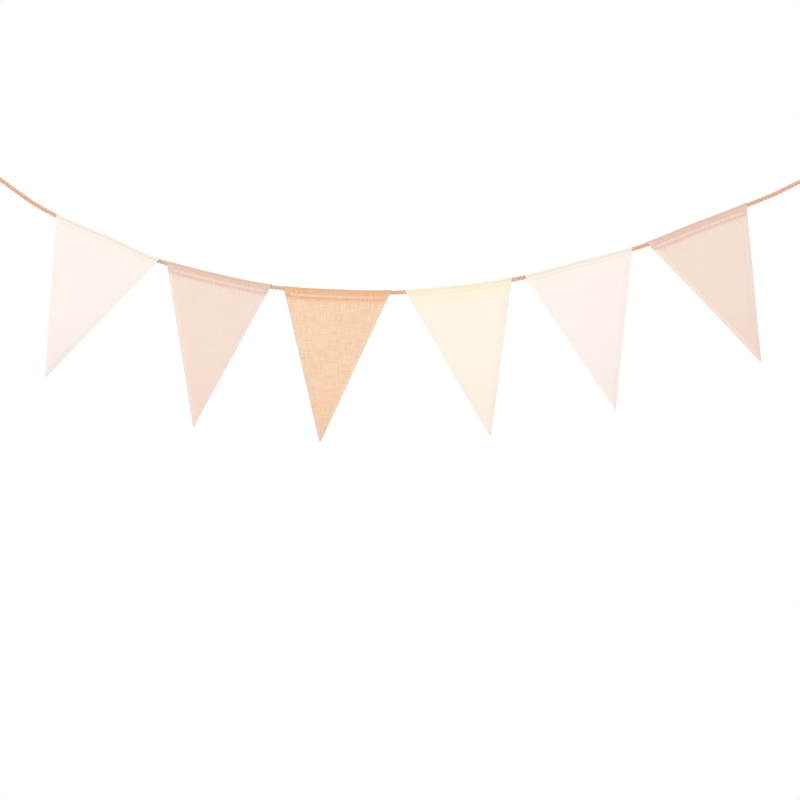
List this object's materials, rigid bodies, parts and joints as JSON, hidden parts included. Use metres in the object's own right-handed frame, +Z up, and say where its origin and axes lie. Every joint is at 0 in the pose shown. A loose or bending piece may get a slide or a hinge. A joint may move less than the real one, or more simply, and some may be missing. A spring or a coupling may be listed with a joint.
{
  "type": "burlap bunting",
  "caption": "String of triangular burlap pennants in soft blush, rose, tan and cream, sewn over a cord with a tied hanging loop at each end.",
  "frame": {"origin": "the eye of the left hanging loop, where a hook holds it", "axes": "+X along the string to the right as seen from the front of the cloth, +Y towards the back of the cloth, +Z up"},
  "size_m": [1.1797, 0.0146, 0.3931],
  "materials": {
    "cloth_blush": "matte woven cloth, very pale blush",
    "cloth_rose": "matte woven cloth, dusty rose",
    "cloth_tan": "matte coarse burlap weave with slubs, warm tan",
    "cloth_cream": "matte woven cloth, pale yellow cream",
    "string": "matte twisted jute cord, tan brown"
  },
  "bodies": {
    "root": {"pennant_1": "cloth_blush", "pennant_2": "cloth_rose", "pennant_3": "cloth_tan", "pennant_4": "cloth_cream", "pennant_5": "cloth_blush", "pennant_6": "cloth_rose", "string": "string", "hang_loop_left": "string", "hang_knot_left": "string", "string_tail_left": "string", "hang_loop_right": "string", "hang_knot_right": "string", "string_tail_right": "string"}
  },
  "joints": []
}
